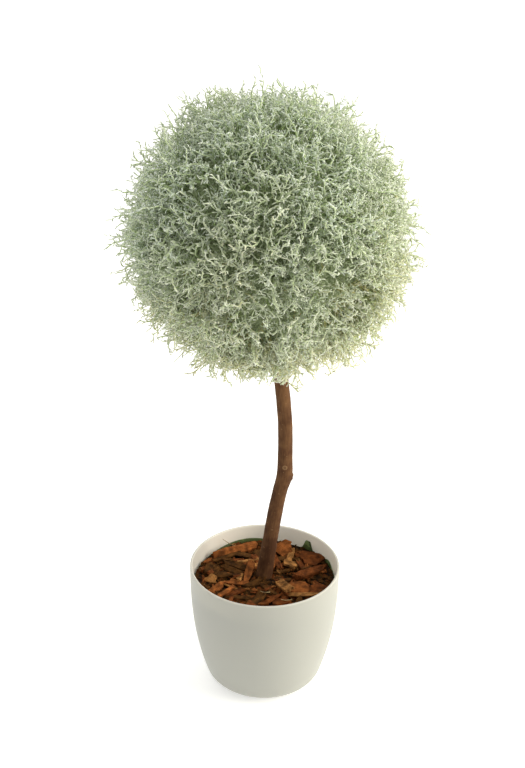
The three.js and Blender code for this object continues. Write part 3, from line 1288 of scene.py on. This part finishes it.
def spray_tree():
    """A spray on each seat, turned along its heading and swung with its neighbours."""

    def build(graph, given):
        seat = graph.node("GeometryNodeInputNamedAttribute", {"data_type": "INT"}, {"Name": "seat"})
        named = {"data_type": "FLOAT_VECTOR"}
        heading = graph.node("GeometryNodeInputNamedAttribute", named, {"Name": "heading"})

        def drawn(kind, low, high, offset):
            inputs = {"Min": low, "Max": high, "ID": seat, "Seed": given["Seed"] + offset}
            return graph.node("FunctionNodeRandomValue", {"data_type": kind}, inputs)

        aim = graph.node("FunctionNodeAlignRotationToVector", {"axis": "Z"}, {"Vector": heading})
        place = graph.node("GeometryNodeInputPosition")
        loose = drawn("FLOAT_VECTOR", (-0.13,) * 3, (0.13,) * 3, 1)
        lean = graph.vector("ADD", graph.drift(place, 24), loose)
        leant = {"Rotation": aim, "Rotate By": graph.scaled(lean, 4.0 * given["Swing"])}
        aim = graph.node("FunctionNodeRotateRotation", {"rotation_space": "GLOBAL"}, leant)
        spin = drawn("FLOAT_VECTOR", (0, 0, 0), (0, 0, TURN), 2)
        spun = {"Rotation": aim, "Rotate By": spin}
        aim = graph.node("FunctionNodeRotateRotation", {"rotation_space": "LOCAL"}, spun)
        sprays = {0: given["Sprays"], 1: True, 2: True}
        luck = drawn("FLOAT", 0.0, 1.0, 4)
        placed = {
            "Points": given["Geometry"],
            "Instance": graph.node("GeometryNodeCollectionInfo", {}, sprays),
            "Pick Instance": True,
            "Instance Index": drawn("INT", 0, given["Kinds"] - 1, 3),
            "Rotation": aim,
            "Scale": given["Smallest"] + luck * luck * (given["Largest"] - given["Smallest"]),
        }
        curl = graph.scaled(graph.drift(place, given["Curl Scale"]), given["Curl"])
        return graph.node("GeometryNodeInstanceOnPoints", {}, placed), curl

    inputs = {
        "Sprays": "Collection",
        "Kinds": "Int",
        "Swing": "Float",
        "Curl": "Float",
        "Curl Scale": "Float",
        "Smallest": "Float",
        "Largest": "Float",
        "Seed": "Int",
        "Material": "Material",
    }
    return geometry_tree("sprays_on_seats", inputs, build)


# The layers of a spray from the inside out: the tones of each and how common they are. The twigs
# and sprigs are darker than the tips as painted shade in the depth of the ball; the tips' paleness
# is their own.
LAYERS = {
    "twigs": {"green": ("a8ba86", 0.4), "dusty": ("aab68c", 0.3), "dry": ("b0ad7c", 0.3)},
    "sprigs": {"leaf": ("c8daa8", 0.35), "dusty": ("cedab0", 0.35), "dry": ("d2d4a0", 0.3)},
    "tips": {
        "blue": ("d0e0c6", 0.14),
        "grey": ("d6e3c2", 0.2),
        "sage": ("dae6c0", 0.22),
        "green": ("d6e4b6", 0.14),
        "cream": ("dfe3b8", 0.16),
        "straw": ("dedcaa", 0.14),
    },
}


# The way in which the tones run from first to last, and how fine their drifts are. The warm last
# tones lean to the right as painted warm light from that side; their drifts are the tones' own.
WARM_WAY = Vector((0.25, 0.35, -0.6))
TONE_DRIFT = 14


def plain_finish(graph, code):
    """A plain colour for a whole piece of sprigs, thin enough to let light through."""
    return {
        "Base Color": (*linear(code), 1),
        "Roughness": 0.75,
        "Specular IOR Level": 0.25,
        "Subsurface Weight": 0.8,
        "Subsurface Radius": (1, 1, 0.9),
        "Subsurface Scale": 0.002,
    }


def old_twigs(graph):
    """Packed twigs: pale strands over darker patches, all darker than the sprays as painted shade
    in the depth of the ball.
    """
    place = graph.object_place()
    strands = graph.noise(place, 330, 3, Distortion=1.2)
    return {
        "Base Color": graph.ramp(
            strands,
            (0.38, linear("6e7a56")),
            (0.52, linear("95a27a")),
            (0.64, linear("b8c29c")),
        ),
        "Roughness": 0.9,
        "Normal": graph.bump(strands, 0.0015),
    }


def deal(rng, seats, tones):
    """Deals the seats out to the tones, in loose drifts, the last ones low, right and behind. Their
    lean to the right is painted warm light.
    """
    names = list(tones)
    edges = np.cumsum([tones[name][1] for name in names])
    dealt = {name: [] for name in names}
    values = []
    for seat in seats:
        way = (seat - BALL_CENTRE).normalized()
        # Painted light: the warm tones lean to the right, where the warm light falls.
        warmth = way.dot(WARM_WAY) + 0.7 * noise.noise(seat * TONE_DRIFT)
        values.append(warmth + rng.gauss(0, 0.3))
    order = np.argsort(values, kind="stable")
    for rank, index in enumerate(order):
        level = (rank + 0.5) / len(seats)
        name = names[min(int(np.searchsorted(edges, level)), len(names) - 1)]
        dealt[name].append(int(index))
    return dealt


# The ways from the ball's middle in which it is clipped closer or left fuller, and by how much.
CLIPPING = [((-0.64, 0.33, 0.69), -4 * MM), ((1, -0.1, -0.15), 2 * MM)]
# How far the lowest sprays keep from the middle of the stem.
STEM_GAP = 15 * MM
# How fine the curling of the twigs is: higher is finer.
CURL_SCALE = 95
# How far in the inner mass lies, as a share of the sprays' depth. Its dark colour is painted shade
# for the ball's depth.
MASS_DEPTH = 0.86


class TOPIARY_OT_sprigs(bpy.types.Operator):
    """Grows boughs from the top of the stem and a forked spray from the end of each"""

    bl_idname = "topiary.sprigs"
    bl_label = "Boughs and sprigs"

    def execute(self, context):
        settings = context.scene.topiary_sprigs
        rng = random.Random(settings.seed)
        ball = BallShape()
        sections = stem_sections()
        seats = []
        for direction in spread_directions(rng, settings.sprays):
            reach = ball.radius(direction) - settings.depth
            reach += settings.tufts * noise.noise(direction * 6.5)
            for way, further in CLIPPING:
                reach += further * max(0, direction.dot(Vector(way))) ** 3
            seat = BALL_CENTRE + direction * reach
            beside = (seat - stem_at(sections, seat.z)[0]).xy.length
            if seat.z > BALL_CENTRE.z or beside > STEM_GAP:
                seats.append(seat)
        self.grow_boughs(context, rng, seats)
        self.fill_inside(settings, ball)
        sprays = [Spray(rng, settings) for _ in range(settings.kinds)]
        tree = spray_tree()
        for layer, tones in LAYERS.items():
            kinds = pattern(layer, [getattr(spray, layer) for spray in sprays])
            self.plant(settings, rng, tree, kinds, seats, tones)
        return {"FINISHED"}

    def grow_boughs(self, context, rng, seats):
        sections = stem_sections()
        top, radius = stem_at(sections, sections[-1, 0] - 2 * MM)
        chains = []
        divide(rng, seats, top, radius, [(top, radius)], chains, len(seats))
        points = []
        faces = []
        for chain in chains:
            tube(chain, 6 if chain[0][1] > 2 * MM else 4, points, faces, False)
        finish = material(bough_wood, context.scene.topiary_stem)
        mesh = mesh_of("boughs", points, faces, finish)
        settle(linked("boughs", mesh), "stem_bark", "foliage_ball")

    def fill_inside(self, settings, ball):
        """Makes the mass of packed twigs, too dense to see through, that the sprays hide. Its
        darker colour is painted shade for the depth of the ball.
        """
        mesh = bpy.data.meshes.new("inner_mass")
        shape = bmesh.new()
        bmesh.ops.create_icosphere(shape, subdivisions=6, radius=1)
        for vertex in shape.verts:
            way = vertex.co.normalized()
            lumps = 3.5 * noise.noise(way * 9) + 2.2 * noise.noise(way * 26)
            reach = ball.radius(way) - settings.depth * MASS_DEPTH + lumps * MM
            vertex.co = BALL_CENTRE + way * reach
        shape.to_mesh(mesh)
        shape.free()
        mesh.polygons.foreach_set("use_smooth", [True] * len(mesh.polygons))
        # Painted shade: the mass is coloured dark for the shaded depth inside the ball.
        mesh.materials.append(material(old_twigs))
        settle(linked("inner_mass", mesh), "sprigs", "foliage_ball")

    def plant(self, settings, rng, tree, kinds, seats, tones):
        """Sets a layer's patterns on the seats, a piece to each tone."""
        for tone, numbers in deal(rng, seats, tones).items():
            name = kinds.name + "_" + tone
            values = {
                "Sprays": kinds,
                "Kinds": settings.kinds,
                "Swing": settings.swing,
                "Curl": settings.curl,
                "Curl Scale": CURL_SCALE,
                "Smallest": settings.smallest,
                "Largest": settings.largest,
                "Seed": settings.seed,
                "Material": material(plain_finish, tones[tone][0], name=name),
            }
            host = self.host_of(name, seats, numbers)
            settle(grown(name, host, tree, values), "sprigs", "foliage_ball")
        discard(kinds)

    @staticmethod
    def host_of(name, seats, numbers):
        """A mesh of loose points, each with its seat's number and the way it heads."""
        chosen = [seats[i] for i in numbers]
        mesh = mesh_of(name + "_seats", chosen, [])
        seat = mesh.attributes.new("seat", "INT", "POINT")
        seat.data.foreach_set("value", numbers)
        heading = mesh.attributes.new("heading", "FLOAT_VECTOR", "POINT")
        ways = [(s - BALL_CENTRE).normalized() for s in chosen]
        heading.data.foreach_set("vector", np.array(ways, np.float32).ravel())
        return linked(name + "_seats", mesh)


# ---- core and stage --------------------------------------------------------------------


def core_fibre(graph, settings):
    """Dark fibres, packed."""
    place = graph.object_place()
    strands = graph.noise(place, 240, 4)
    colour = tuple(settings.fines)
    return {
        "Base Color": graph.mix(strands, tuple(0.5 * c for c in colour), colour),
        "Roughness": 0.95,
        "Normal": graph.bump(strands, 0.001),
    }


class TOPIARY_OT_core(bpy.types.Operator):
    """Gives the hidden planting core its fibrous finish"""

    bl_idname = "topiary.core"
    bl_label = "Planting core"

    def execute(self, context):
        finish = material(core_fibre, context.scene.topiary_bark)
        for slot in frame["nodes"]["planting_core"].material_slots:
            slot.material = finish
        return {"FINISHED"}


# Half the side of the square floor, in metres.
FLOOR_HALF = 9.0
# How strongly the surroundings glow.
STUDIO_GLOW = 0.44
# The soft lamps: name, place, target, size, spread in degrees, power and colour.
LAMPS = [
    ("lamp_right", (1.45, -0.3, 0.75), (0, 0, 0.08), 1.1, 70, 4.4, (1, 0.95, 0.82)),
    ("lamp_above", (0.5, 2.0, 3.2), (0.5, 2.0, 0), 6, 180, 140, (1, 0.985, 0.94)),
]


def floor_paint(graph, settings):
    """A plain pale floor that glows a little, so that it stays pale in every view."""
    return {
        "Base Color": (*settings.floor_colour, 1),
        "Roughness": 0.9,
        "Specular IOR Level": 0.1,
        "Emission Color": (1, 1, 1, 1),
        "Emission Strength": 0.42,
    }


def lamp(name, place, target, size, spread, power, colour):
    """A square soft lamp that faces a point and throws its light within a spread of degrees."""
    data = bpy.data.lights.new(name, "AREA")
    data.size = size
    data.spread = math.radians(spread)
    data.energy = power
    data.color = colour
    made = linked(name, data)
    made.location = place
    made.rotation_euler = (Vector(target) - Vector(place)).to_track_quat("-Z", "Y").to_euler()


class TOPIARY_OT_stage(bpy.types.Operator):
    """Lays a plain pale floor and sets the soft light and the camera"""

    bl_idname = "topiary.stage"
    bl_label = "Stage"

    def execute(self, context):
        scene = context.scene
        settings = scene.topiary_stage
        self.lay_floor(settings)
        self.light(scene)
        self.aim_camera(scene, settings)
        return {"FINISHED"}

    def lay_floor(self, settings):
        half = FLOOR_HALF
        corners = [(-half, -half, 0), (half, -half, 0), (half, half, 0), (-half, half, 0)]
        mesh = mesh_of("floor", corners, [(0, 1, 2, 3)], material(floor_paint, settings))
        linked("floor", mesh)

    def light(self, scene):
        world = bpy.data.worlds.new("studio")
        world.use_nodes = True
        graph = Graph(world.node_tree)
        sockets = {"Color": (1, 1, 1, 1), "Strength": STUDIO_GLOW}
        glow = graph.node("ShaderNodeBackground", {}, sockets)
        graph.node("ShaderNodeOutputWorld", {}, {"Surface": glow})
        scene.world = world
        scene.view_settings.view_transform = "Standard"
        for given in LAMPS:
            lamp(*given)

    def aim_camera(self, scene, settings):
        data = bpy.data.cameras.new("camera")
        data.lens = settings.lens
        data.clip_end = 50
        camera = linked("camera", data)
        ahead = Vector((0, math.cos(settings.elevation), -math.sin(settings.elevation)))
        right = Vector((1, 0, 0))
        up = right.cross(ahead)
        c = math.cos(settings.roll)
        s = math.sin(settings.roll)
        axes = Matrix((c * right + s * up, c * up - s * right, -ahead)).transposed()
        aim = Vector((-settings.aim_left, 0, settings.aim_height))
        camera.matrix_world = Matrix.Translation(aim - settings.distance * ahead) @ axes.to_4x4()
        scene.camera = camera


# ---- add-on ----------------------------------------------------------------------------

SETTINGS = {
    "topiary_pot": PotSettings,
    "topiary_stem": StemSettings,
    "topiary_bark": BarkSettings,
    "topiary_sprigs": SprigSettings,
    "topiary_stage": StageSettings,
}
STEPS = [
    TOPIARY_OT_stage,
    TOPIARY_OT_pot,
    TOPIARY_OT_liner,
    TOPIARY_OT_core,
    TOPIARY_OT_bark,
    TOPIARY_OT_stem,
    TOPIARY_OT_sprigs,
]


class TOPIARY_PT_panel(bpy.types.Panel):
    """Lists the steps that make the topiary"""

    bl_idname = "TOPIARY_PT_panel"
    bl_label = "Lollipop Topiary"
    bl_space_type = "VIEW_3D"
    bl_region_type = "UI"
    bl_category = "Topiary"

    def draw(self, context):
        for step in STEPS:
            self.layout.operator(step.bl_idname)


def register():
    for made in (*SETTINGS.values(), *STEPS, TOPIARY_PT_panel):
        bpy.utils.register_class(made)
    for name, group in SETTINGS.items():
        setattr(bpy.types.Scene, name, PointerProperty(type=group))


def unregister():
    for name in SETTINGS:
        delattr(bpy.types.Scene, name)
    for made in reversed((*SETTINGS.values(), *STEPS, TOPIARY_PT_panel)):
        bpy.utils.unregister_class(made)


def main():
    register()
    for step in STEPS:
        area, name = step.bl_idname.split(".")
        getattr(getattr(bpy.ops, area), name)()


if __name__ == "__main__":
    main()
